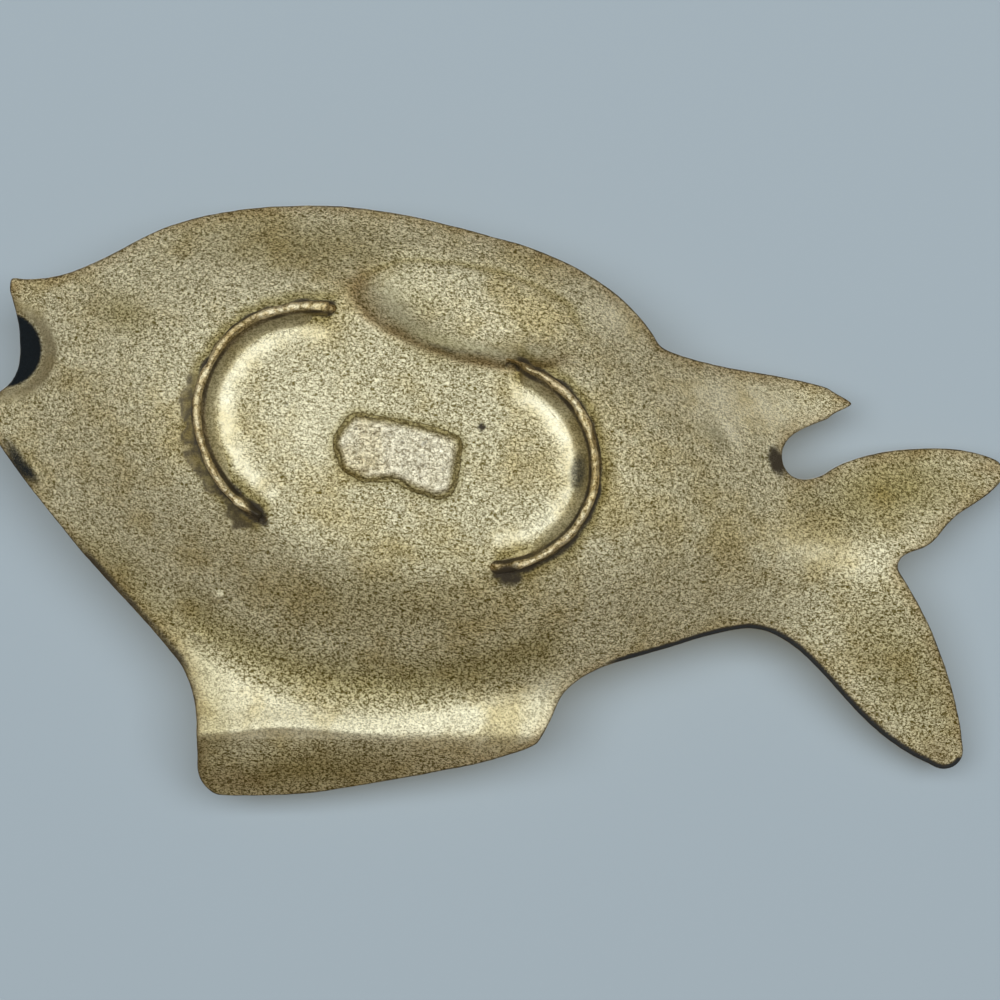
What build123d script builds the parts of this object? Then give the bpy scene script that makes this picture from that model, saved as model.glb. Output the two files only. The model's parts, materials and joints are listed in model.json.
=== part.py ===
"""A shallow cast-brass dish in the shape of a fish, lying on its foot rails with the bowl open upwards.

+X runs from the mouth to the tail, +Y from the back to the belly, +Z up. The foot rails stand on Z = 0
and the origin is under the middle of the outline. All lengths are in millimetres.
"""

from build123d import *

import os
from math import cos, hypot, radians, sin, tan

# Bowl: an oval hollow, tilted along the fish, that rises from a flat floor to the rim
wall = 2.5
bowl_depth = 11.0
rim_centre = (-12.5, -8.5)
rim_half_length = 66.0
rim_half_width = 37.0
rim_tilt_angle = 13.0
floor_centre = (-13.3, -8.6)
floor_share = 0.40

# Feet: two crescent rails, each with a braze flank on its inner side, and a rough pad between them
foot_height = 2.2
bead_width = 1.7
bead_chamfer = 0.5
flank_top = 0.9
flank_width = 2.4
flank_sink = 0.4
front_rail_centre = (-24.5, -11.2)
front_rail_radius = 15.0
front_rail_start_angle = 118.0
front_rail_sweep_angle = 160.0
rear_rail_centre = (-0.3, -4.8)
rear_rail_radius = 13.6
rear_rail_start_angle = -80.0
rear_rail_sweep_angle = 168.0
pad_height = 1.1
pad_draft_angle = 30.0

# Belly fin: a band that dips towards the table, then a facet folded up from a sharp crease
fin_crease_x = -18.0
fin_crease_y = 32.0
fin_band_width = 8.5
fin_dip = 1.8
fin_fold_angle = 38.0
fin_rear_x = 12.0
fin_rear_fade = 20.0

# Tail: lifts gently from the wrist to its tips, and folds along a rounded ridge that starts at the bowl
tail_wrist_x = 30.0
tail_tip_x = 70.0
tail_lift = 2.0
tail_ridge_centre = (-13.3, -5.5)
tail_ridge_angle = 13.0
tail_ridge_radius = 3.0
tail_fold_angle = 14.0
tail_fold_start_x = 2.0
tail_fold_full_x = 42.0

# Dent in the underside below the back
dent_centre = (-3.4, -26.2)
dent_half_length = 18.5
dent_half_width = 9.0
dent_tilt_angle = 16.0
dent_depth = 2.8
dent_flat_share = 0.45

# Mouth: a round scoop in the underside between the lips
mouth_scoop_centre = (-67.4, -20.6)
mouth_scoop_radius = 7.0
mouth_scoop_depth = 1.4

# Head carving on the show side
eye_centre = (-51.0, -19.5)
eye_radius = 4.2
eye_top_radius = 2.2
eye_height = 1.2
gill_centre = (-62.0, -10.0)
gill_radius = 27.0
gill_start_angle = -48.0
gill_sweep_angle = 84.0
gill_width = 1.4
gill_depth = 0.7

# The surface grid reaches past the outline on every side
sheet_end_margin = 5.0
sheet_side_margin = 6.9
sheet_step = 4.0
sheet_tolerance = 0.1
drift_rounds = 12
block_size = 300.0

# Outline, run by run: each list starts where the one before it ends
upper_lip = (-67.0, -31.0)
dorsal_dip = (22.5, -21.2)
spike_top = (47.9, -15.4)
spike_tip = (49.7, -13.7)
spike_under = (47.5, -12.1)
tail_root_top = (46.4, -4.5)
tail_top = (70.1, -5.9)
tail_tip = (71.0, -4.8)
tail_under = (70.8, -3.0)
tail_fork = (55.5, 9.3)
low_lobe_inner = (65.4, 34.2)
low_lobe_tip = (64.6, 37.0)
low_lobe_outer = (61.0, 36.9)
wrist_under = (35.0, 17.5)
fin_rear_root = (9.1, 26.7)
fin_rear_corner = (5.8, 33.7)
fin_front_low = (-39.0, 41.1)
fin_front_corner = (-41.1, 39.2)
fin_front_high = (-41.5, 36.0)
fin_front_root = (-43.6, 22.3)
chin = (-68.3, -7.5)
lower_lip = (-69.7, -11.2)
mouth_low = (-68.6, -15.1)
mouth_top = (-67.2, -29.2)
back_line = [upper_lip, (-60.2, -31.0), (-54.8, -32.8), (-46.9, -37.1), (-37.7, -39.7), (-26.4, -40.7),
             (-2.2, -36.9), (13.5, -30.6), (17.6, -27.5), dorsal_dip]
spike_edge = [dorsal_dip, (25.4, -20.1), (36.8, -17.9), spike_top]
notch_edge = [spike_under, (42.8, -10.2), (40.0, -8.0), (39.5, -5.6), (40.8, -3.5), (43.5, -3.1), tail_root_top]
tail_crown = [tail_root_top, (50.7, -6.2), (57.5, -7.3), (63.7, -7.4), tail_top]
fork_upper = [tail_under, (67.5, -0.2), (63.3, 2.6), (59.4, 6.4), (56.2, 7.7), tail_fork]
fork_lower = [tail_fork, (58.2, 13.6), (62.1, 22.0), (64.4, 28.8), low_lobe_inner]
low_lobe_edge = [low_lobe_outer, (56.6, 34.5), (50.9, 29.8), (45.1, 23.6), (39.4, 18.8), wrist_under]
rear_belly = [wrist_under, (29.3, 18.5), (22.6, 20.5), (14.4, 22.9), fin_rear_root]
fin_hem = [fin_rear_corner, (-2.2, 36.2), (-12.3, 38.3), (-24.3, 40.5), fin_front_low]
fin_front = [fin_front_high, (-41.3, 30.0), (-42.2, 25.3), fin_front_root]
front_belly = [fin_front_root, (-49.6, 15.4), (-53.9, 10.7), (-57.7, 6.2), (-62.9, -0.2), chin]
mouth_rim = [mouth_low, (-66.1, -17.7), (-65.7, -21.4), (-66.2, -26.0), mouth_top]

# Pad outline, an uneven lozenge left by the pour
pad_corners = [(-21.7, -8.3), (-19.2, -11.8), (-12.5, -10.7), (-4.6, -8.7), (-6.0, -1.0), (-8.2, -0.4),
               (-14.0, -3.1), (-17.7, -2.8), (-20.6, -4.4)]
pad_corner_fillet = 1.6

# Reach of the surface grid, from the outline's furthest points
sheet_half_length = tail_tip[0] + sheet_end_margin
sheet_half_width = fin_front_low[1] + sheet_side_margin


def smooth_step(t):
    """Rises from 0 to 1 as t goes from 0 to 1, level at both ends."""
    t = min(max(t, 0.0), 1.0)
    return t * t * (3.0 - 2.0 * t)


def turned(x, y, centre, angle):
    """A point's distances along and across an axis that passes through a centre at an angle."""
    dx, dy = x - centre[0], y - centre[1]
    turn = radians(angle)
    return dx * cos(turn) + dy * sin(turn), dy * cos(turn) - dx * sin(turn)


def oval_radius(x, y, centre, half_length, half_width, angle):
    """Distance from the centre of a tilted oval, 1 on its edge."""
    along, across = turned(x, y, centre, angle)
    return hypot(along / half_length, across / half_width)


def bowl_radius(x, y):
    """Distance from the middle of the bowl, 1 on its rim, where the ovals drift from floor centre to rim centre."""
    r = 1.0
    for _ in range(drift_rounds):
        centre = [floor + (rim - floor) * r for floor, rim in zip(floor_centre, rim_centre)]
        r = oval_radius(x, y, centre, rim_half_length, rim_half_width, rim_tilt_angle)
    return r


def bowl_rise(x, y):
    """Height of the bowl's wall above its floor."""
    return bowl_depth * smooth_step((bowl_radius(x, y) - floor_share) / (1.0 - floor_share))


def fin_band_dip(x, y):
    """How far the band above the fin's crease dips towards the table."""
    along = smooth_step((fin_rear_x + fin_rear_fade - x) / fin_rear_fade)
    down = min(max((y - fin_crease_y + fin_band_width) / fin_band_width, 0.0), 1.0)
    return fin_dip * along * down * down


def dent_rise(x, y):
    """Depth of the oval dent, which slopes in from the back and ends in a steep lower edge."""
    r = oval_radius(x, y, dent_centre, dent_half_length, dent_half_width, dent_tilt_angle)
    across = turned(x, y, dent_centre, dent_tilt_angle)[1] / dent_half_width
    edge = 1.0 - smooth_step((r - dent_flat_share) / (1.0 - dent_flat_share))
    return dent_depth * edge * smooth_step((across + 1.0) / (1.0 + dent_flat_share))


def tail_rise(x, y):
    """Lift of the tail, and of both its sides away from the ridge along its middle."""
    t = max((x - tail_wrist_x) / (tail_tip_x - tail_wrist_x), 0.0)
    across = turned(x, y, tail_ridge_centre, tail_ridge_angle)[1]
    fold = tan(radians(tail_fold_angle)) * (hypot(across, tail_ridge_radius) - tail_ridge_radius)
    return tail_lift * t * t + fold * smooth_step((x - tail_fold_start_x) / (tail_fold_full_x - tail_fold_start_x))


def underside(x, y):
    """Height of the casting's lower surface, without the fin's folded facet."""
    return foot_height + bowl_rise(x, y) - fin_band_dip(x, y) + dent_rise(x, y) + tail_rise(x, y)


def grid_values(half, step):
    """Evenly spaced values from -half to +half, no further apart than step."""
    count = int(2.0 * half / step) + 1
    return [-half + 2.0 * half * i / count for i in range(count + 1)]


def sheet(raised):
    """The lower surface as one smooth face, raised by a distance."""
    rows = [[(x, y, underside(x, y) + raised) for y in grid_values(sheet_half_width, sheet_step)]
            for x in grid_values(sheet_half_length, sheet_step)]
    return Face.make_surface_from_array_of_points(rows, tol=sheet_tolerance, smoothing=(1, 1, 1), max_deg=5)


def above_facet(raised):
    """Everything over the fin's folded facet, a plane through the crease raised by a distance."""
    crease_z = underside(fin_crease_x, fin_crease_y) + raised
    upper_half = Box(block_size, block_size, block_size, align=(Align.CENTER, Align.CENTER, Align.MIN))
    return Pos(fin_crease_x, fin_crease_y, crease_z) * Rotation(fin_fold_angle, 0, 0) * upper_half


def above_underside(raised):
    """Everything over the lower surface and the facet, both raised by a distance."""
    return Solid.extrude(sheet(raised), Vector(0, 0, block_size)) & above_facet(raised)


def outline_face():
    """The fish seen from above."""
    edges = [
        Spline(*back_line),
        Spline(*spike_edge),
        ThreePointArc(spike_top, spike_tip, spike_under),
        Spline(*notch_edge),
        Spline(*tail_crown),
        ThreePointArc(tail_top, tail_tip, tail_under),
        Spline(*fork_upper),
        Spline(*fork_lower),
        ThreePointArc(low_lobe_inner, low_lobe_tip, low_lobe_outer),
        Spline(*low_lobe_edge),
        Spline(*rear_belly),
        Line(fin_rear_root, fin_rear_corner),
        Spline(*fin_hem),
        ThreePointArc(fin_front_low, fin_front_corner, fin_front_high),
        Spline(*fin_front),
        Spline(*front_belly),
        ThreePointArc(chin, lower_lip, mouth_low),
        Spline(*mouth_rim),
        Line(mouth_top, upper_lip),
    ]
    return make_face(edges)


def mouth_scoop():
    """The ball that hollows the underside between the lips, sunk square to the slope there."""
    ball = (mouth_scoop_radius ** 2 + mouth_scoop_depth ** 2) / (2.0 * mouth_scoop_depth)
    x, y = mouth_scoop_centre
    slope_x = underside(x + 0.5, y) - underside(x - 0.5, y)
    slope_y = underside(x, y + 0.5) - underside(x, y - 0.5)
    inwards = Vector(-slope_x, -slope_y, 1.0).normalized()
    return Pos(*(Vector(x, y, underside(x, y)) + inwards * (mouth_scoop_depth - ball))) * Sphere(ball)


def eye_boss():
    """A low round boss with sloping sides, rooted in the wall and standing on the show side."""
    x, y = eye_centre
    boss = Cone(eye_radius, eye_top_radius, wall + eye_height, align=(Align.CENTER, Align.CENTER, Align.MIN))
    return Pos(x, y, underside(x, y)) * boss


def gill_cutter():
    """A curved upright wall that grooves the show side behind the head."""
    arc = CenterArc(gill_centre, gill_radius, gill_start_angle, gill_sweep_angle)
    upright = extrude(SlotArc(arc, gill_width), block_size)
    return upright & above_underside(wall - gill_depth)


def body():
    """The fish casting: bowl, rim, fins, tail and head in one piece."""
    above = extrude(outline_face(), block_size) & above_underside(0.0)
    shell = above - above_underside(wall)
    return shell + (eye_boss() & above) - gill_cutter() - mouth_scoop()


def rail_profile(radius):
    """Section of a rail: a bead at the radius and a flank that falls inwards from it to the floor."""
    outer, inner, top = radius + bead_width / 2.0, radius - bead_width / 2.0, foot_height + bowl_depth
    sunk = inner - flank_width * (1.0 + flank_sink / (foot_height - flank_top))
    corners = [
        (outer, top),
        (outer, bead_chamfer),
        (outer - bead_chamfer, 0.0),
        (inner + bead_chamfer, 0.0),
        (inner, bead_chamfer),
        (inner, flank_top),
        (sunk, foot_height + flank_sink),
        (sunk, top),
    ]
    return make_face(Polyline(*corners, close=True))


def rail_end():
    """The round end of a rail's bead."""
    post = Cylinder(bead_width / 2.0, foot_height + bowl_depth, align=(Align.CENTER, Align.CENTER, Align.MIN))
    return chamfer(post.edges().sort_by(Axis.Z)[0], bead_chamfer)


def foot_rail(centre, radius, start_angle, sweep_angle):
    """A crescent rail from the table up to the underside of the floor."""
    rail = revolve(Plane.XZ * rail_profile(radius), Axis.Z, sweep_angle)
    for angle in (0.0, sweep_angle):
        rail += Rotation(0, 0, angle) * Pos(radius, 0, 0) * rail_end()
    return Pos(*centre) * Rotation(0, 0, start_angle) * rail - above_underside(0.0)


def centre_pad():
    """A rough lozenge under the middle of the floor, clear of the table."""
    base = make_face(Polyline(*pad_corners, close=True))
    base = fillet(base.vertices(), pad_corner_fillet)
    lump = Pos(0, 0, foot_height - pad_height) * extrude(base, pad_height + bowl_depth, taper=-pad_draft_angle)
    return lump - above_underside(0.0)


def main():
    centre = outline_face().bounding_box().center()
    nodes = {
        "body": body(),
        "front_foot_rail": foot_rail(front_rail_centre, front_rail_radius, front_rail_start_angle,
                                     front_rail_sweep_angle),
        "rear_foot_rail": foot_rail(rear_rail_centre, rear_rail_radius, rear_rail_start_angle,
                                    rear_rail_sweep_angle),
        "centre_pad": centre_pad(),
    }
    os.makedirs("parts", exist_ok=True)
    for name, solid in nodes.items():
        export_step(Pos(-centre.X, -centre.Y, 0) * solid, f"parts/{name}.step")


main()
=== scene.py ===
import json
from math import cos, pi, radians, sin
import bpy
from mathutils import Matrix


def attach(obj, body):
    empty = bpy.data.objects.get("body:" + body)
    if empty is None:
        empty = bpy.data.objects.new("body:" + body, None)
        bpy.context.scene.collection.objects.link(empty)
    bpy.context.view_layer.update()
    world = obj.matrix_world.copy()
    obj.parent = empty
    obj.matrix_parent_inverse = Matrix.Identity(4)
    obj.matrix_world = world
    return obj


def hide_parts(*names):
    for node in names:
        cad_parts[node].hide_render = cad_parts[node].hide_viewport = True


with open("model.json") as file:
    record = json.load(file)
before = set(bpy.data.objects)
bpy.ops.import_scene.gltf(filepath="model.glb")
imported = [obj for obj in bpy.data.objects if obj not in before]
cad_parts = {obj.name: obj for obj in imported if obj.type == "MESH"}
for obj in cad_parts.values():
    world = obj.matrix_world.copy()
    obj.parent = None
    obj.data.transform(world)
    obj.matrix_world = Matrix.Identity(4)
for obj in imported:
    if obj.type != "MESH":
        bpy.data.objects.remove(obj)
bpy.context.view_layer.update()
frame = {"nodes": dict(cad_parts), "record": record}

from types import SimpleNamespace

import bpy
import numpy as np
from mathutils import Vector, kdtree, noise

# Sizes in metres
mm = 0.001
camera_place = (-0.2 * mm, -0.5 * mm, -400.0 * mm)
rim_plane = 14.0 * mm
body_voxel = 0.42 * mm
rail_voxel = 0.2 * mm
pad_voxel = 0.22 * mm
backdrop_height = 27.0 * mm
stage_half = 1.5

# The camera's lens and sensor, in millimetres
lens = 107.73
sensor = 36.0

# Foot rails, each with its centre beside its rest mount.
# In metres: the crest's radius.
# In degrees along the crest: its start and sweep, where the flank runs out at each end, where the bead thins,
# where each end goes under the surface, and where the painted highlight inside it is brightest.
# In millimetres: the swelling of its far end, how far it bows out and at what degree, how far its start
# flares out, and the extra width of the painted shadow outside its far half.
front_rest, rear_rest = [mount["pos_m"] for mount in frame["record"]["mounts"]]
front_rail = dict(
    radius=15.0 * mm, start=118.0, sweep=160.0, run_out=(45.0, 16.0), thin=14.0, sink=(1.0, 1.0),
    glint=68.0, swell=0.22, bow=(0.7, 88.0), flare=0.0, shadow=0.0,
)
front_rail["centre"] = (front_rest[0] + front_rail["radius"], front_rest[1])
rear_rail = dict(
    radius=13.6 * mm, start=-80.0, sweep=168.0, run_out=(1.0, 42.0), thin=34.0, sink=(9.0, 12.0),
    glint=50.0, swell=0.32, bow=(0.2, 110.0), flare=0.9, shadow=0.5,
)
rear_rail["centre"] = (rear_rest[0] - rear_rail["radius"], rear_rest[1])

# Across a rail, in millimetres: half the bead, the flank's width and hollow, and the crescent's place
bead_half = 0.85
flank_width = 2.4
flank_drop = 1.3
crescent_away = -3.1

# Marks on the underside, as the camera sees them: x and y in millimetres from its axis on the plane of the
# rim, half length, half width, and angle in degrees
dent = (-3.9, -25.9, 16.0, 6.3, 13.7)
dent_crack = (9.9, -19.2, 1.9, 0.25, 12.0)
rail_end_dirt = [(-33.6, 1.8, 3.6, 1.5, 52.0), (1.2, 10.5, 3.0, 2.4, 12.0)]
notch_dirt = (38.4, -5.4, 3.4, 2.0, 68.0)
smudge = (10.8, -3.8, 4.8, 2.0, 95.0)
black_edge = (-66.0, -5.4, 7.0, 3.0, 56.0)
# A raised ridge on the spike, with a painted highlight along it
spike_streak = (32.0, -9.6, 5.0, 1.7, 60.0)
spike_patch = (29.6, -9.2, 4.2, 2.2, 40.0)

# Such marks with a height or depth in millimetres
bumps = [
    ((-39.0, 13.4, 1.4, 1.2, 0.0), 0.45),
    ((-13.8, 1.1, 1.1, 1.0, 0.0), 0.35),
    ((-41.5, 18.8, 1.9, 1.0, 35.0), 0.3),
]
pits = [
    ((-2.5, -10.1, 0.9, 0.8, 0.0), 0.4),
    ((-29.5, -13.3, 1.1, 0.9, 0.0), 0.10),
    ((-2.1, 2.1, 1.3, 1.2, 0.0), 0.15),
]

# Such marks with a strength: of painted highlight and wear, of olive and painted shade, of brown film, and of
# sandy grain
# Mostly painted highlights: on the ridge before the tail, the floor inside the rails, along the spike and
# beside the dent
bright_spots = [
    ((45.5, 7.6, 16.0, 5.0, 12.7), 0.52),
    ((-26.0, -10.0, 15.0, 12.0, 0.0), 0.30),
    (spike_streak, 0.75),
    ((34.0, -13.0, 19.0, 6.5, 14.0), 0.65),
    ((15.9, -25.2, 7.0, 4.0, 40.0), 0.50),
]
# Mostly painted shade: on the tail's lobes, below the bowl, by the head, along the top, round the dent and on
# the fin's facet
olive_spots = [
    ((53.5, -1.0, 20.0, 9.0, -14.0), 0.90),
    ((55.5, 23.0, 20.0, 10.0, 55.0), 0.60),
    ((-14.0, 14.0, 30.0, 8.0, 4.0), 0.42),
    ((-52.5, -26.0, 8.0, 5.0, 25.0), 0.65),
    ((-27.0, -35.0, 28.0, 7.0, 4.0), 0.55),
    ((-9.0, -21.5, 13.0, 5.0, 20.0), 0.55),
    ((-11.0, -27.0, 8.0, 5.0, 20.0), 0.35),
    ((-11.0, -15.5, 12.0, 5.0, 10.0), 0.12),
    ((-11.0, 7.2, 16.0, 4.0, 5.0), 0.30),
    ((-26.0, 37.5, 26.0, 6.0, -3.0), 0.80),
    ((27.0, 0.0, 18.0, 10.0, 0.0), 0.20),
]
brown_spots = [
    ((48.0, -14.2, 4.0, 2.0, 10.0), 0.9),
    ((-67.5, -29.5, 2.5, 2.2, 0.0), 0.8),
    ((68.0, -4.5, 5.0, 2.5, 0.0), 0.6),
    ((-37.0, 39.0, 9.0, 3.0, 0.0), 0.6),
    ((61.0, 35.0, 4.0, 4.0, 0.0), 0.5),
    ((7.5, -15.6, 5.0, 2.2, 35.0), 0.5),
    # Painted shade on the fin's facet
    ((-18.0, 37.5, 44.0, 6.0, -6.0), 0.3),
]
grain_spots = [
    ((-14.0, 20.0, 34.0, 12.0, 0.0), 1.0),
    ((-18.0, 37.0, 40.0, 6.0, -6.0), 1.0),
    ((55.0, 20.0, 22.0, 12.0, 55.0), 0.85),
]
plain_grain = 0.5

# Seen in the same way: the ends of the dorsal spike's point; on the fin the lowest place of the painted
# highlight band, how far the band rises to the front and to the rear, half its length, the crease, and where
# and how far that bends; the mouth's middle and the radii of its black and of its rim
spike_tip = (48.6, -13.3)
spike_root = (45.4, -13.6)
fin_band_low = (-18.0, 29.7)
fin_band_rise = (8.7, 4.6)
fin_half = 23.5
fin_crease = 32.9
crease_bend = (-29.5, 1.1)
mouth = (-68.6, -20.8)
mouth_black = 5.2
mouth_rim = 7.3

# Colours: the light and the dark of each brass, then the films on it and its painted highlight and shade,
# then the stage
cast_colours = ((0.90, 0.84, 0.63), (0.15, 0.115, 0.025))
worn_colours = ((0.80, 0.71, 0.48), (0.20, 0.155, 0.05))
rough_colours = ((1.0, 0.94, 0.76), (0.24, 0.20, 0.11))
grey_film = (0.40, 0.37, 0.25)
polished = (1.0, 0.96, 0.80)
stained = (0.74, 0.64, 0.38)
olive_film = (0.45, 0.39, 0.14)
brown_film = (0.50, 0.33, 0.10)
golden = (1.0, 0.84, 0.54)
grime_black = (0.035, 0.024, 0.011)
soot_black = (0.012, 0.017, 0.022)
floor_colour = (0.70, 0.73, 0.76)
backdrop_colour = (0.37, 0.43, 0.49)
room_light = (0.20, 0.17, 0.12)
pale_walls = (0.66, 0.61, 0.53)

field_names = ("grime", "worn", "brown", "grey", "olive", "patina", "sand", "shine")


# Meshes

def even_copy(node, name, voxel):
    """A finely and evenly meshed copy of a CAD node."""
    piece = bpy.data.objects.new(name, frame["nodes"][node].data.copy())
    bpy.context.scene.collection.objects.link(piece)
    remesh = piece.modifiers.new("even", "REMESH")
    remesh.mode = "VOXEL"
    remesh.voxel_size = voxel
    seen = piece.evaluated_get(bpy.context.evaluated_depsgraph_get())
    mesh = bpy.data.meshes.new_from_object(seen)
    piece.modifiers.clear()
    piece.data = mesh
    mesh.materials.clear()
    mesh.polygons.foreach_set("use_smooth", [True] * len(mesh.polygons))
    return piece


def points(mesh):
    """The vertices as rows of x, y, z."""
    flat = np.empty(len(mesh.vertices) * 3)
    mesh.vertices.foreach_get("co", flat)
    return flat.reshape(-1, 3)


def directions(mesh):
    """The vertex normals as rows of x, y, z."""
    flat = np.empty(len(mesh.vertices) * 3)
    mesh.vertices.foreach_get("normal", flat)
    return flat.reshape(-1, 3)


def move_to(mesh, places):
    """Puts the vertices at new places."""
    mesh.vertices.foreach_set("co", places.ravel())
    mesh.update()


def neighbours(mesh):
    """The two ends of every edge, and how many edges meet at each vertex."""
    ends = np.empty(len(mesh.edges) * 2, dtype=np.int64)
    mesh.edges.foreach_get("vertices", ends)
    a, b = ends[0::2], ends[1::2]
    count = np.bincount(ends, minlength=len(mesh.vertices)).astype(float)
    return a, b, np.maximum(count, 1.0)


def spread(values, links, rounds, share=0.5):
    """Evens out values over the mesh, each round taking a share from the neighbours."""
    a, b, count = links
    values = np.array(values, dtype=float)
    for _ in range(rounds):
        total = np.zeros_like(values)
        np.add.at(total, a, values[b])
        np.add.at(total, b, values[a])
        mean = total / (count[:, None] if values.ndim == 2 else count)
        values += share * (mean - values)
    return values


def soften(mesh, rounds):
    """Rounds the edges off, as a sand casting's are, without shrinking the piece."""
    links = neighbours(mesh)
    places = points(mesh)
    for _ in range(rounds):
        places = spread(places, links, 1, 0.5)
        places = spread(places, links, 1, -0.52)
    move_to(mesh, places)


def bulge(mesh, rounds):
    """Positive on crests and negative in hollows, in millimetres, over a width set by the rounds."""
    places = points(mesh)
    away = places - spread(places, neighbours(mesh), rounds, 0.5)
    return (away * directions(mesh)).sum(axis=1) / mm


# Fields over the surface

def step(t):
    """Rises from 0 to 1 as t goes from 0 to 1, level at both ends."""
    t = np.clip(t, 0.0, 1.0)
    return t * t * (3.0 - 2.0 * t)


def line(value, width):
    """1 where a value is 0, fading to 0 over a width on both sides."""
    return np.exp(-(value / width) ** 2)


def ripple(places, size, seed):
    """Smooth seeded noise from -1 to 1 with lumps of a size in millimetres."""
    shift = Vector((seed * 13.7, seed * 7.3, seed * 3.1))
    return np.array([noise.noise(Vector(p) / (size * mm) + shift) for p in places.tolist()])


def lumps(places, size, seed):
    """The same noise from 0 to 1."""
    return 0.5 + 0.5 * ripple(places, size, seed)


def as_seen(places):
    """Offsets in millimetres from the camera's axis, as the camera sees them on the plane of the rim."""
    eye = np.array(camera_place)
    share = (rim_plane - eye[2]) / (places[:, 2] - eye[2])
    return (places[:, :2] - eye[:2]) * share[:, None] / mm


def facing_down(normals):
    """1 on the underside and 0 on the show side."""
    return step((-normals[:, 2] - 0.1) / 0.4)


def oval(seen, x, y, half_length, half_width, angle):
    """Distance from the middle of an oval mark, 1 on its edge, and the shares of it along and across."""
    turn = radians(angle)
    dx, dy = seen[:, 0] - x, seen[:, 1] - y
    along = (dx * cos(turn) + dy * sin(turn)) / half_length
    across = (dy * cos(turn) - dx * sin(turn)) / half_width
    return np.hypot(along, across), along, across


def blob(seen, mark):
    """1 in the middle of an oval mark, fading to 0 at its edge."""
    return 1.0 - step(oval(seen, *mark)[0])


def patch(seen, mark, soft):
    """1 over the middle of an oval mark, falling to 0 over a soft share of it at its edge."""
    return step((1.0 - oval(seen, *mark)[0]) / soft)


def dent_place(places, seen):
    """Distance from the middle of the dent, 1 on its uneven edge, its front lower side, and its back side."""
    out, along, across = oval(seen, *dent)
    out = out + 0.07 * ripple(places, 4.0, 4)
    front_low = step((across - 0.55 * along + 0.35) / 0.9)
    return out, front_low, step((-across + 0.1) / 0.5)


def ring_place(places, rail):
    """Distance outwards from a rail's circle in millimetres, and degrees along its sweep."""
    dx = places[:, 0] - rail["centre"][0]
    dy = places[:, 1] - rail["centre"][1]
    away = (np.hypot(dx, dy) - rail["radius"]) / mm
    turn = np.degrees(np.arctan2(dy, dx)) - rail["start"]
    return away, np.mod(turn + 90.0, 360.0) - 90.0


def rail_bow(turn, rail):
    """How far a rail bows and flares out from its circle, in millimetres."""
    most, middle = rail["bow"]
    return most * line(turn - middle, 40.0) + rail["flare"] * (1.0 - step(turn / 12.0))


def bowed_place(places, rail):
    """Distance outwards from a rail's bowed crest in millimetres, and degrees along its sweep."""
    away, turn = ring_place(places, rail)
    return away - rail_bow(turn, rail), turn


def along_rail(turn, rail):
    """1 over the sweep of a rail, fading to 0 past its ends."""
    fade = 6.0
    start = 0.5 * rail["sink"][0]
    return step((turn - start + fade) / fade) * step((rail["sweep"] + fade - turn) / fade)


def glint_strength(uneven, turn, rail):
    """How bright the painted highlight of the crescent inside a rail is, strongest at one degree of its
    sweep.
    """
    return 0.30 + 0.65 * uneven + 0.45 * line(turn - rail["glint"], 45.0)


def nearest(places, targets):
    """The index of each place's nearest target and its distance in millimetres."""
    tree = kdtree.KDTree(len(targets))
    for i, target in enumerate(targets.tolist()):
        tree.insert(target, i)
    tree.balance()
    found = [tree.find(place)[1:] for place in places.tolist()]
    return np.array([i for i, _ in found]), np.array([distance for _, distance in found]) / mm


def lay(coat, **amounts):
    """Adds films to a coat, keeping the stronger amount at each vertex."""
    for name, amount in amounts.items():
        coat[name] = np.maximum(coat[name], amount)


def store(mesh, **fields):
    """Keeps fields from 0 to 1 on the mesh for its material, and 0 for those not given."""
    bare = np.zeros(len(mesh.vertices))
    for name in field_names:
        layer = mesh.attributes.new(name, "FLOAT", "POINT")
        layer.data.foreach_set("value", np.clip(fields.get(name, bare), 0.0, 1.0).astype(np.float32))


# Materials

def node(tree, kind, **inputs):
    """A shader node with its inputs set by name or linked to a socket."""
    made = tree.nodes.new(kind)
    for name, value in inputs.items():
        place = made.inputs[name.replace("_", " ")]
        if isinstance(value, bpy.types.NodeSocket):
            tree.links.new(value, place)
        else:
            place.default_value = value
    return made


def field(tree, name):
    """A field kept on the mesh."""
    made = tree.nodes.new("ShaderNodeAttribute")
    made.attribute_name = name
    return made.outputs["Fac"]


def cloud(tree, place, size, detail, rough, warp=0.0):
    """Noise from 0 to 1 with lumps of a size in metres, drawn out into worms by a warp."""
    made = node(
        tree, "ShaderNodeTexNoise", Vector=place, Scale=1.0 / size, Detail=detail, Roughness=rough,
        Distortion=warp,
    )
    return made.outputs["Fac"]


def between(tree, value, low, high):
    """Stretches low..high to 0..1, level at both ends."""
    made = node(tree, "ShaderNodeMapRange", Value=value, From_Min=low, From_Max=high)
    made.interpolation_type = "SMOOTHSTEP"
    return made.outputs["Result"]


def ramp(tree, value, low, high):
    """Stretches 0..1 to low..high."""
    return node(tree, "ShaderNodeMapRange", Value=value, To_Min=low, To_Max=high).outputs["Result"]


def drawn_out(tree, place):
    """Coordinates in which the grain runs longer along the fish than across it."""
    made = node(
        tree, "ShaderNodeMapping", Vector=place, Rotation=(0.0, 0.0, radians(12.0)), Scale=(1.35, 1.0, 1.0),
    )
    made.vector_type = "TEXTURE"
    return made.outputs["Vector"]


def sum_up(tree, how, a, b):
    """One sum of two values."""
    made = tree.nodes.new("ShaderNodeMath")
    made.operation = how
    for place, value in zip(made.inputs, (a, b)):
        if isinstance(value, bpy.types.NodeSocket):
            tree.links.new(value, place)
        else:
            place.default_value = value
    return made.outputs[0]


def times(tree, a, b):
    """The product of two values."""
    return sum_up(tree, "MULTIPLY", a, b)


def scaled(tree, value, centre, factor):
    """Stretches a value about a centre."""
    away = times(tree, sum_up(tree, "SUBTRACT", value, centre), factor)
    return sum_up(tree, "ADD", away, centre)


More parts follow.
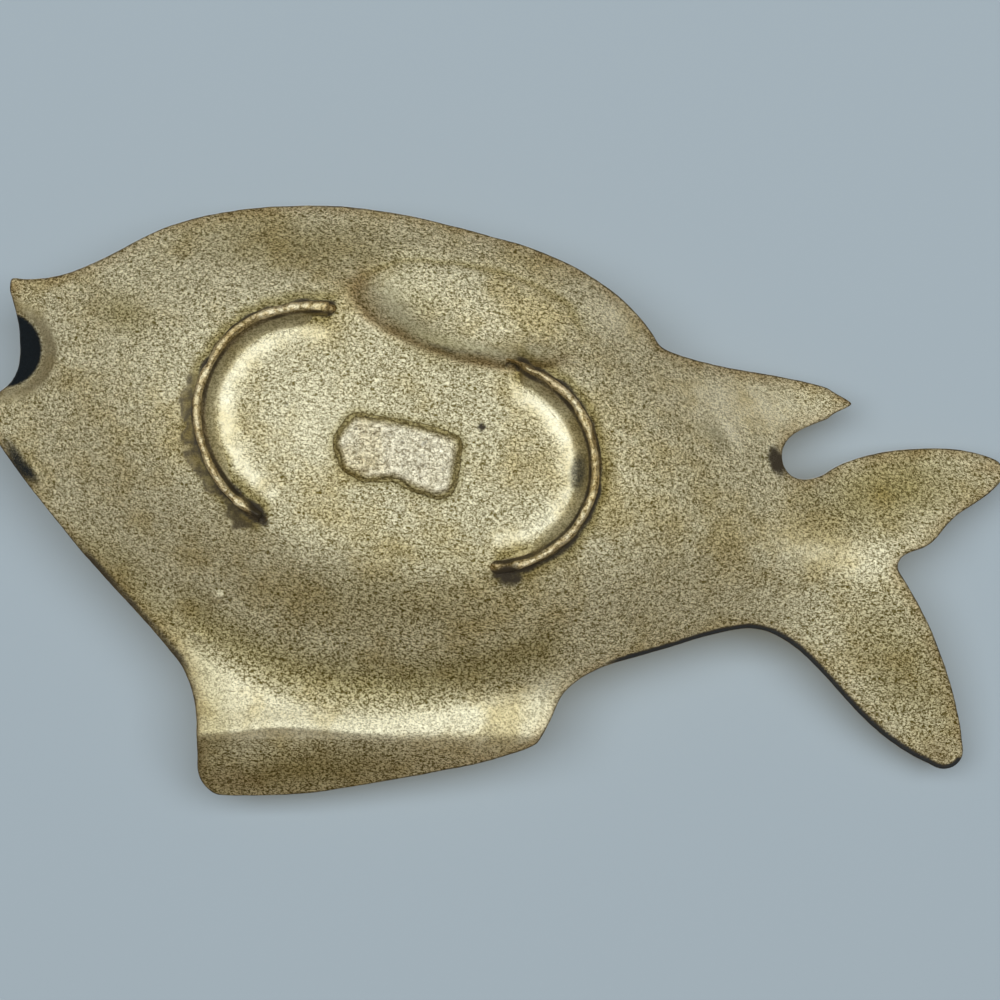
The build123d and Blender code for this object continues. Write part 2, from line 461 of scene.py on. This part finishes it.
def tint(tree, share, under, over, how="MIX"):
    """Mixes two colours by a share, or multiplies them."""
    made = tree.nodes.new("ShaderNodeMix")
    made.data_type = "RGBA"
    made.blend_type = how
    for index, value in ((0, share), (6, under), (7, over)):
        if isinstance(value, bpy.types.NodeSocket):
            tree.links.new(value, made.inputs[index])
        else:
            made.inputs[index].default_value = (*value, 1.0) if index else value
    return made.outputs[2]


def brass_colour(tree, place, grain, speck, base, dark):
    """Sandy brass under its films, before the black dirt and black painted shade."""
    worn = field(tree, "worn")
    stain = between(tree, cloud(tree, place, 9.0 * mm, 4.0, 0.6), 0.42, 0.7)
    bright = between(tree, sum_up(tree, "ADD", grain, times(tree, speck, 0.6)), 0.60, 1.0)
    bright = scaled(tree, bright, 0.5, ramp(tree, field(tree, "sand"), 0.45, 1.85))
    bright = sum_up(tree, "ADD", bright, times(tree, worn, 0.4))
    colour = tint(tree, bright, dark, base)
    colour = tint(tree, times(tree, field(tree, "grey"), 0.7), colour, grey_film)
    # Wear and painted highlights turn towards a pale polished colour
    colour = tint(tree, times(tree, times(tree, worn, worn), 0.72), colour, polished)
    colour = tint(tree, times(tree, stain, 0.6), colour, stained, "MULTIPLY")
    colour = tint(tree, field(tree, "olive"), colour, olive_film, "MULTIPLY")
    colour = tint(tree, field(tree, "brown"), colour, brown_film, "MULTIPLY")
    return tint(tree, field(tree, "shine"), colour, golden, "MULTIPLY")


def brass(name, base, dark, grain_size, grain_height):
    """Aged as-cast brass: sandy grain, grime and painted shade in the hollows, wear and painted highlights on
    the crests, films kept on the mesh.
    """
    material = bpy.data.materials.new(name)
    material.use_nodes = True
    tree = material.node_tree
    tree.nodes.clear()
    place = tree.nodes.new("ShaderNodeTexCoord").outputs["Object"]
    grain = cloud(tree, drawn_out(tree, place), grain_size, 2.0, 0.6, 0.8)
    speck = cloud(tree, place, grain_size * 0.45, 2.0, 0.6)

    colour = brass_colour(tree, place, grain, speck, base, dark)
    crumbs = times(tree, sum_up(tree, "SUBTRACT", speck, 0.5), 0.8)
    grime = between(tree, sum_up(tree, "ADD", field(tree, "grime"), crumbs), 0.15, 0.85)
    soot = between(tree, sum_up(tree, "ADD", field(tree, "patina"), crumbs), 0.15, 0.85)
    # Grime with painted shade, then soot with painted shade, darken the colour towards black
    colour = tint(tree, grime, colour, grime_black)
    colour = tint(tree, soot, colour, soot_black)

    shine = times(tree, field(tree, "shine"), 0.22)
    rough = sum_up(tree, "SUBTRACT", ramp(tree, speck, 0.50, 0.68), shine)
    metal = sum_up(tree, "SUBTRACT", 0.9, times(tree, grime, 0.6))
    smooth = sum_up(tree, "MAXIMUM", field(tree, "grey"), times(tree, field(tree, "worn"), 0.5))
    sandy = sum_up(tree, "SUBTRACT", 1.0, times(tree, smooth, 0.75))
    relief = sum_up(tree, "ADD", grain, times(tree, speck, 0.4))
    bump = node(tree, "ShaderNodeBump", Strength=sandy, Distance=grain_height, Height=relief)
    shader = node(
        tree, "ShaderNodeBsdfPrincipled", Base_Color=colour, Metallic=metal, Roughness=rough,
        Normal=bump.outputs["Normal"],
    )
    out = tree.nodes.new("ShaderNodeOutputMaterial")
    tree.links.new(shader.outputs["BSDF"], out.inputs["Surface"])
    return material


def pale_paint(name, colour):
    """Pale paint that shows only to the camera, from the front of its plane, and lets light through."""
    material = bpy.data.materials.new(name)
    material.use_nodes = True
    tree = material.node_tree
    tree.nodes.clear()
    paint = node(tree, "ShaderNodeBsdfDiffuse", Color=(*colour, 1.0))
    clear = tree.nodes.new("ShaderNodeBsdfTransparent")
    back = tree.nodes.new("ShaderNodeNewGeometry").outputs["Backfacing"]
    straight = tree.nodes.new("ShaderNodeLightPath").outputs["Is Camera Ray"]
    shown = times(tree, sum_up(tree, "SUBTRACT", 1.0, back), straight)
    mix = node(tree, "ShaderNodeMixShader", Fac=shown)
    tree.links.new(clear.outputs[0], mix.inputs[1])
    tree.links.new(paint.outputs[0], mix.inputs[2])
    out = tree.nodes.new("ShaderNodeOutputMaterial")
    tree.links.new(mix.outputs[0], out.inputs["Surface"])
    return material


# Body

def outline_wall(places, normals):
    """The vertices of the upright edge round the outline, just outside which no underside is left."""
    level = places * (1.0, 1.0, 0.0)
    upright = np.flatnonzero(np.abs(normals[:, 2]) < 0.5)
    outside = level[upright] + 1.5 * mm * normals[upright] * (1.0, 1.0, 0.0)
    return upright[nearest(outside, level[normals[:, 2] < -0.6])[1] > 0.8]


def taper_edge(mesh):
    """Draws the show side down to the underside along the outline.

    Gives each vertex's distance from the outline in millimetres and the way the outline faces there.
    """
    places, normals = points(mesh), directions(mesh)
    wall = outline_wall(places, normals)
    level = places * (1.0, 1.0, 0.0)
    under = np.flatnonzero(normals[:, 2] < -0.6)
    beneath = places[under][nearest(level, level[under])[0]]
    height = np.maximum(places[:, 2] - beneath[:, 2], 0.0)
    away = nearest(places, places[wall])[1]
    places[:, 2] -= 0.72 * (1.0 - step(away / 3.5)) * height
    smooth = spread(places, neighbours(mesh), 5)
    places += (smooth - places) * (1.0 - step(away / 2.0))[:, None]
    move_to(mesh, places)
    rim = wall[directions(mesh)[wall, 2] > -0.35]
    index, distance = nearest(places, places[rim])
    return distance, normals[rim][index]


def sharpen_spike(mesh):
    """Draws the end of the dorsal spike in to a point."""
    places = points(mesh)
    seen = as_seen(places)
    (root_x, root_y), (tip_x, tip_y) = spike_root, spike_tip
    share = np.clip((seen[:, 0] - root_x) / (tip_x - root_x), 0.0, 1.0)
    off = seen[:, 1] - root_y - share * (tip_y - root_y)
    near = (np.abs(off) < 4.0) & (seen[:, 0] < tip_x + 3.0)
    places[:, 1] -= np.where(near, 0.75 * share * off, 0.0) * mm
    move_to(mesh, places)


def ease_crease(mesh):
    """Bends the fin's crease near the front and lets it fade out towards the rear."""
    places = points(mesh)
    seen = as_seen(places)
    along = seen[:, 0] - fin_band_low[0]
    off = seen[:, 1] - fin_crease
    on_fin = step((26.0 - np.abs(along)) / 4.0)
    fade = on_fin * step((along + 6.0) / 14.0) * (1.0 - step((np.abs(off) - 1.5) / 2.5))
    places += (spread(places, neighbours(mesh), 30) - places) * fade[:, None]
    bend_x, bend = crease_bend
    places[:, 1] -= bend * line(seen[:, 0] - bend_x, 9.0) * line(off, 3.0) * mm
    move_to(mesh, places)


def roughen_body(mesh):
    """The casting's uneven surface, the dent's lip and the small marks."""
    places, normals = points(mesh), directions(mesh)
    seen = as_seen(places)
    below = facing_down(normals)
    raised = 0.16 * ripple(places, 11.0, 1) + 0.07 * ripple(places, 4.0, 2) + 0.035 * ripple(places, 1.3, 3)
    for mark, height in bumps:
        raised = raised + height * below * blob(seen, mark)
    for mark, depth in pits:
        raised = raised - depth * below * blob(seen, mark)
    out, front_low, back_side = dent_place(places, seen)
    raised = raised + below * front_low * (0.26 * line(out - 1.10, 0.12) - 0.22 * line(out - 0.86, 0.13))
    raised = raised - 0.10 * below * back_side * line(out - 1.0, 0.09)
    raised = raised - 0.2 * below * blob(seen, dent_crack)
    raised = raised + 0.12 * below * blob(seen, spike_streak)
    move_to(mesh, places + normals * (raised * mm)[:, None])


def paint_form(coat, skin):
    """Grime and painted shade in the hollows, a dark painted reflection with grime along the outline, and
    wear on the crests.
    """
    edge_grime = skin.below * step((0.5 - skin.edge) / 0.4) * (0.45 + 0.5 * skin.patchy)
    lay(coat, grime=0.9 * step((-skin.form - 0.02) / 0.12) + edge_grime)
    lay(coat, worn=0.3 * step((skin.form - 0.01) / 0.10) * step(skin.edge / 2.0))


def paint_outline(coat, skin):
    """Brown along the outline, black painted shade along the tail's lower edges, black by the lower lip, and
    painted shade by the front belly.
    """
    x, y, edge = skin.seen[:, 0], skin.seen[:, 1], skin.edge
    lay(coat, brown=step((2.6 - edge) / 2.6) * (0.1 + 0.5 * skin.patchy))

    # Painted shade: the lower edges of the tail and rear belly, facing away from the light, are blackened
    under_tail = skin.below * step((skin.facing[:, 1] - 0.2) / 0.3)
    under_tail = under_tail * step((x - 12.0) / 6.0) * step((y - 13.0) / 4.0)
    lay(coat, grime=under_tail * step((1.1 - edge) / 0.5), patina=0.7 * under_tail * step((0.9 - edge) / 0.4))

    front_belly = skin.below * step((-x - 38.0) / 8.0) * step((y - 2.0) / 8.0)
    lay(coat, brown=0.4 * front_belly * step((3.4 - edge) / 2.6))
    lay(coat, grime=front_belly * step(1.6 - edge) * (0.3 + 0.8 * skin.patchy))
    # Painted shade, olive, on the front belly towards its edge
    dull_belly = skin.below * step((9.0 - edge) / 9.0) * step((-x - 25.0) / 15.0) * step(y / 8.0)
    lay(coat, olive=0.12 * skin.broad + 0.45 * dull_belly)

    burnt = skin.below * patch(skin.seen, black_edge, 0.8) * step((3.0 - edge) / 1.6)
    lay(coat, patina=burnt * (0.45 + 0.5 * skin.patchy))


def paint_rail_seat(coat, skin, rail):
    """Grime and painted shade close along both sides of a rail's bead, olive painted shade a little wider,
    and the painted highlight of the crescent inside its flank.
    """
    away, turn = bowed_place(skin.places, rail)
    uneven = lumps(skin.places, 2.2, 6)
    reach = along_rail(turn, rail) * skin.below
    far = rail["shadow"] * step((turn - 90.0) / 40.0) * step(away / 0.5)
    # Grime and painted shade along both sides of the bead, and a wider painted shadow outside its far half
    lay(coat, grime=reach * step((0.8 + far + 1.1 * uneven - np.abs(away)) / 0.7) * (0.65 + 0.35 * uneven))
    lay(coat, olive=0.7 * reach * step((2.4 + 1.4 * uneven - np.abs(away)) / 1.6))
    inner = away - crescent_away + 0.5 * uneven
    # Painted highlight: the crescent inside the flank
    glint = reach * line(inner, np.where(inner < 0.0, 1.7, 0.9)) * glint_strength(uneven, turn, rail)
    lay(coat, worn=glint, sand=plain_grain + 0.4 * glint)


def paint_residue(coat, skin):
    """Rough filler left outside the lower half of the front rail, and its dark crumbs."""
    away, turn = bowed_place(skin.places, front_rail)
    ragged = ripple(skin.places, 2.0, 9)
    width = 2.4 + 1.8 * ragged
    strip = skin.below * step((away - 0.4) / 0.3) * (1.0 - step((away - width) / 0.5))
    strip = strip * step((turn + 2.0) / 6.0) * (1.0 - step((turn - 80.0 - 16.0 * ragged) / 8.0))
    crumbs = strip * np.maximum(step((ripple(skin.places, 1.3, 10) + 0.1) / 0.3), line(away - width, 0.4))
    lay(coat, grey=0.9 * strip, brown=0.3 * strip, grime=0.36 * strip + 0.26 * crumbs)


def paint_dirt(coat, skin):
    """Dirt at the rails' ends, in the notch by the tail and in the pits, and the dark smudge."""
    ragged = lumps(skin.places, 1.1, 12)
    for mark in rail_end_dirt + [notch_dirt]:
        lay(coat, grime=skin.below * patch(skin.seen, mark, 0.8) * (0.5 + 0.9 * ragged))
    for mark, depth in pits:
        lay(coat, grime=1.6 * depth * skin.below * blob(skin.seen, mark))
    lay(coat, patina=0.7 * skin.below * patch(skin.seen, smudge, 0.75) * (0.75 + 0.25 * ragged))


def paint_dent(coat, skin):
    """The brown and grimy lip of the dent with painted shade on it, its smooth inner slope, and painted
    shadow along its back edge.
    """
    below, patchy = skin.below, skin.patchy
    out, front_low, back_side = dent_place(skin.places, skin.seen)
    # Painted shade with brown and grime on the dent's front lower lip, and painted shadow along its back edge
    lay(coat, brown=0.8 * below * front_low * line(out - 1.02, 0.12) * (0.3 + 0.7 * patchy))
    lay(coat, olive=0.6 * below * back_side * line(out - 1.0, 0.08))
    lay(coat, grime=0.35 * below * front_low * line(out - 1.0, 0.09) * patchy)
    lay(coat, grey=0.85 * below * front_low * line(out - 0.76, 0.16))
    lay(coat, grime=0.6 * below * blob(skin.seen, dent_crack))


def paint_fin(coat, skin):
    """The painted highlight along the fin's crease, wider at both ends, and painted shade in the hollow above
    it.
    """
    x, y = skin.seen[:, 0], skin.seen[:, 1]
    across = (x - fin_band_low[0]) / fin_half
    rise = np.where(across < 0.0, *fin_band_rise) * across ** 2
    over = y - fin_band_low[1] + rise
    inside = skin.below * step((1.25 - np.abs(across)) / 0.25)
    flat = 1.0 - step((y - fin_crease) / (0.4 + 4.0 * step(across + 0.2)))
    # Painted highlight on the band, and painted shade in the hollow above it
    lay(coat, worn=0.55 * inside * step((over + 1.5) / 2.5) * flat)
    lay(coat, olive=0.6 * inside * line(over + 4.5, 3.6))


def paint_spots(coat, skin):
    """Broad painted highlights and wear, olive and painted shade, brown and smooth places."""
    below, patchy = skin.below, skin.patchy
    for mark, share in bright_spots:
        lay(coat, worn=share * below * blob(skin.seen, mark))
    for mark, share in olive_spots:
        lay(coat, olive=share * below * blob(skin.seen, mark) * (0.75 + 0.25 * patchy))
    for mark, share in brown_spots:
        lay(coat, brown=share * below * blob(skin.seen, mark) * (0.5 + 0.5 * patchy))
    lay(coat, grey=0.7 * below * blob(skin.seen, spike_patch))


def paint_pad_seat(coat, skin, pad_places):
    """Olive painted shade and grime close round the pad."""
    away = nearest(skin.places, pad_places)[1]
    lay(coat, olive=0.5 * skin.below * step((1.1 - away) / 0.9))
    lay(coat, grime=0.35 * skin.below * step((0.7 - away) / 0.6) * (0.5 + 0.5 * skin.patchy))


def paint_mouth(coat, skin):
    """The black hollow of the mouth and the smooth lip round it."""
    deep = np.hypot(skin.seen[:, 0] - mouth[0], skin.seen[:, 1] - mouth[1])
    lip = skin.below * step((deep - mouth_black) / 0.6) * (1.0 - step((deep - mouth_rim + 0.5) / 0.8))
    lay(coat, patina=skin.below * (1.0 - step(deep - mouth_black + 0.5)), grey=0.95 * lip, brown=0.2 * lip)
    lay(coat, grime=0.35 * skin.below * line(deep - mouth_rim - 0.2, 0.3) * skin.patchy)


def paint_body(mesh, pad_places, edge, facing):
    """Where the casting is grimy, worn, brown, grey, olive, blackened, sandy or shiny, and where shade and
    highlights are painted.
    """
    places, normals = points(mesh), directions(mesh)
    skin = SimpleNamespace(places=places, seen=as_seen(places), below=facing_down(normals))
    skin.form = bulge(mesh, 12)
    skin.patchy = lumps(places, 3.0, 5)
    skin.broad = lumps(places, 14.0, 7)
    skin.edge, skin.facing = edge, facing
    coat = {name: np.zeros(len(places)) for name in field_names}
    coat["sand"] += plain_grain
    for mark, amount in grain_spots:
        coat["sand"] += (amount - coat["sand"]) * skin.below * patch(skin.seen, mark, 0.5)

    paint_form(coat, skin)
    paint_outline(coat, skin)
    paint_rail_seat(coat, skin, front_rail)
    paint_rail_seat(coat, skin, rear_rail)
    paint_residue(coat, skin)
    paint_dirt(coat, skin)
    paint_dent(coat, skin)
    paint_fin(coat, skin)
    paint_spots(coat, skin)
    paint_pad_seat(coat, skin, pad_places)
    paint_mouth(coat, skin)

    coat["shine"] = step((normals[:, 2] + 0.1) / 0.4) * (0.6 + 0.4 * skin.broad)
    coat["sand"] = coat["sand"] * (1.0 - 0.8 * coat["shine"])
    store(mesh, **coat)


# Foot rails

def shape_rail(mesh, rail, seed):
    """A thin uneven bead that wanders, and a hollow flank that runs out into the floor."""
    soften(mesh, 4)
    places, normals = points(mesh), directions(mesh)
    away, turn = ring_place(places, rail)
    share = np.clip((-away - bead_half) / flank_width, 0.0, 1.0)
    start_out, end_out = rail["run_out"]
    left = step(turn / start_out) * step((rail["sweep"] - turn) / end_out)
    hollow = flank_drop * share * (1.0 - share) + 0.35 * step((share - 0.5) / 0.5)
    hollow = hollow + (1.0 - left) * step(share / 0.2) * 1.8 * flank_drop * (1.0 - share)
    low = step((2.4 * mm - places[:, 2]) / (0.8 * mm))
    start_sink, end_sink = rail["sink"]
    sunk = 2.0 - step(turn / start_sink) - step((rail["sweep"] - turn) / end_sink)
    places[:, 2] += low * (hollow + 2.0 * sunk) * mm

    outwards = places[:, :2] - np.array(rail["centre"])
    outwards /= np.hypot(outwards[:, 0], outwards[:, 1])[:, None]
    crest = np.zeros_like(places)
    crest[:, :2] = np.array(rail["centre"]) + outwards * rail["radius"]
    thin = 0.28 + 0.5 * (1.0 - step(turn / rail["thin"])) + 0.30 * ripple(crest, 2.6, seed + 2)
    wander = 0.4 * ripple(crest, 5.0, seed + 3) + rail_bow(turn, rail)
    side = np.clip(away, -bead_half, bead_half) * (1.0 - share)
    places[:, :2] += outwards * (low * (wander - thin * side) * mm)[:, None]

    bead = 1.0 - step((np.abs(away) - bead_half) / 0.5)
    raised = 0.20 * ripple(places, 2.6, seed) + 0.11 * ripple(places, 1.0, seed + 1)
    raised = raised + rail["swell"] * line(turn - rail["sweep"], 5.0)
    places = places + normals * (raised * low * bead * mm)[:, None]
    places[:, 2] = np.maximum(places[:, 2], 0.0)
    move_to(mesh, places)


def paint_rail(mesh, rail):
    """A worn crest, grime and painted shade along both sides, a smooth olive flank and the edge of its
    painted highlight.
    """
    places = points(mesh)
    seen = as_seen(places)
    away, turn = bowed_place(places, rail)
    patchy = lumps(places, 2.0, 8)
    fine = step((ripple(places, 0.7, 11) + 0.2) / 0.4)
    crest = step((0.8 * mm - places[:, 2]) / (0.6 * mm)) * (1.0 - step((np.abs(away) - 0.42) / 0.35))
    flank = step((-away - 0.7) / 0.5)
    glint = flank * line(away - crescent_away, 0.8) * glint_strength(patchy, turn, rail)
    dull = flank * (1.0 - glint)
    # Grime and painted shade along both sides of the bead
    side = (1.0 - crest) * step((0.55 - np.abs(np.abs(away) - 0.7)) / 0.4)
    dirt = sum(patch(seen, mark, 0.8) for mark in rail_end_dirt) * (0.5 + 0.9 * patchy)

    coat = {name: np.zeros(len(places)) for name in field_names}
    lay(coat, worn=crest * (0.2 + 0.4 * fine), brown=0.5 * (1.0 - flank) * (1.0 - crest))
    lay(coat, worn=glint, brown=crest * (0.4 - 0.25 * fine))
    for mark, amount in brown_spots:
        lay(coat, brown=amount * blob(seen, mark))
    lay(coat, grime=side * (0.4 + 0.6 * patchy), grey=0.75 * dull, olive=0.35 * dull, sand=0.85)
    lay(coat, grime=dirt, patina=0.6 * patch(seen, smudge, 0.75))
    store(mesh, **coat)


# Pad

def shape_pad(mesh):
    """A rough broken top with worn-down corners; gives the share of slope at each vertex."""
    places, normals = points(mesh), directions(mesh)
    slope = step((1.2 - nearest(places, places[np.abs(normals[:, 2]) < 0.7])[1]) / 1.2)
    move_to(mesh, spread(places, neighbours(mesh), 6))
    places, normals = points(mesh), directions(mesh)
    raised = 0.35 * ripple(places, 2.4, 21) + 0.25 * ripple(places, 1.0, 22) - 0.35 * slope
    low = step((2.1 * mm - places[:, 2]) / (0.6 * mm))
    move_to(mesh, places + normals * (raised * low * mm)[:, None])
    return slope


def paint_pad(mesh, slope):
    """Painted shade on the slope round the pad, grime in its hollows and a worn top."""
    places = points(mesh)
    form = bulge(mesh, 8)
    patchy = lumps(places, 2.0, 23)
    coat = {name: np.zeros(len(places)) for name in field_names}
    # Painted shade, olive, on the pad's slope
    lay(coat, grime=0.35 * slope * (0.5 + 0.5 * patchy), olive=0.8 * slope, brown=0.1 * patchy, sand=0.5)
    lay(coat, grime=0.6 * step((-form - 0.01) / 0.08))
    lay(coat, worn=(0.2 + 0.4 * step((form - 0.01) / 0.08)) * (1.0 - slope))
    store(mesh, **coat)


# Assembly

def settle(piece, node_name, material):
    """Gives a piece its material and its place in the frame."""
    piece.data.materials.append(material)
    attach(piece, "root")
    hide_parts(node_name)


def build_pad():
    piece = even_copy("centre_pad", "gate_stub", pad_voxel)
    paint_pad(piece.data, shape_pad(piece.data))
    settle(piece, "centre_pad", brass("rough brass", *rough_colours, 0.30 * mm, 0.16 * mm))
    return piece


def build_body(pad):
    piece = even_copy("body", "fish_body", body_voxel)
    mesh = piece.data
    soften(mesh, 3)
    edge, facing = taper_edge(mesh)
    sharpen_spike(mesh)
    ease_crease(mesh)
    roughen_body(mesh)
    paint_body(mesh, points(pad.data), edge, facing)
    settle(piece, "body", brass("cast brass", *cast_colours, 0.27 * mm, 0.14 * mm))


def build_rail(node_name, rail, seed):
    piece = even_copy(node_name, node_name + "_bead", rail_voxel)
    shape_rail(piece.data, rail, seed)
    paint_rail(piece.data, rail)
    metal = brass("worn brass " + node_name, *worn_colours, 0.27 * mm, 0.10 * mm)
    settle(piece, node_name, metal)


# Stage

def plane(name, height, facing, material):
    """A wide square parallel to the table, with its front up or down."""
    s = stage_half
    corners = [(-s, -s, height), (s, -s, height), (s, s, height), (-s, s, height)]
    mesh = bpy.data.meshes.new(name)
    mesh.from_pydata(corners if facing > 0 else corners[::-1], [], [(0, 1, 2, 3)])
    mesh.materials.append(material)
    made = bpy.data.objects.new(name, mesh)
    bpy.context.scene.collection.objects.link(made)


def lamp(name, place, width, height, watts, colour):
    """A soft panel lamp aimed at the middle of the dish."""
    data = bpy.data.lights.new(name, "AREA")
    data.shape = "RECTANGLE"
    data.size = width
    data.size_y = height
    data.energy = watts
    data.color = colour
    made = bpy.data.objects.new(name, data)
    bpy.context.scene.collection.objects.link(made)
    made.location = place
    made.rotation_mode = "QUATERNION"
    made.rotation_quaternion = (Vector((0, 0, 10 * mm)) - Vector(place)).to_track_quat("-Z", "Y")


def build_world():
    """A dim warm room whose pale walls show to the camera and in reflections."""
    world = bpy.data.worlds.new("studio")
    bpy.context.scene.world = world
    world.use_nodes = True
    tree = world.node_tree
    ray = tree.nodes.new("ShaderNodeLightPath").outputs
    direction = tree.nodes.new("ShaderNodeTexCoord").outputs["Generated"]
    up = node(tree, "ShaderNodeSeparateXYZ", Vector=direction).outputs["Z"]
    walls = sum_up(tree, "SUBTRACT", between(tree, up, 0.0, 0.1), between(tree, up, 0.2, 0.5))
    mirrored = sum_up(tree, "MAXIMUM", ray["Is Glossy Ray"], ray["Is Transmission Ray"])
    shown = sum_up(tree, "MAXIMUM", ray["Is Camera Ray"], times(tree, mirrored, walls))
    back = tree.nodes["Background"]
    tree.links.new(tint(tree, shown, room_light, pale_walls), back.inputs["Color"])


def build_stage():
    plane("floor", 0.0, 1, pale_paint("pale floor", floor_colour))
    plane("backdrop", backdrop_height, -1, pale_paint("pale backdrop", backdrop_colour))
    lamp("key", (0.0, -0.16, -1.09), 1.6, 0.6, 15.0, (0.90, 0.97, 1.0))
    lamp("top light", (-0.3, -0.5, 1.1), 0.9, 0.9, 12.0, (1.0, 0.99, 0.97))
    build_world()
    bpy.context.scene.view_settings.view_transform = "Standard"


def build_camera():
    data = bpy.data.cameras.new("camera")
    data.lens = lens
    data.sensor_width = sensor
    made = bpy.data.objects.new("camera", data)
    bpy.context.scene.collection.objects.link(made)
    made.location = camera_place
    made.rotation_euler = (pi, 0.0, 0.0)
    bpy.context.scene.camera = made


build_body(build_pad())
build_rail("front_foot_rail", front_rail, 30)
build_rail("rear_foot_rail", rear_rail, 40)
build_stage()
build_camera()
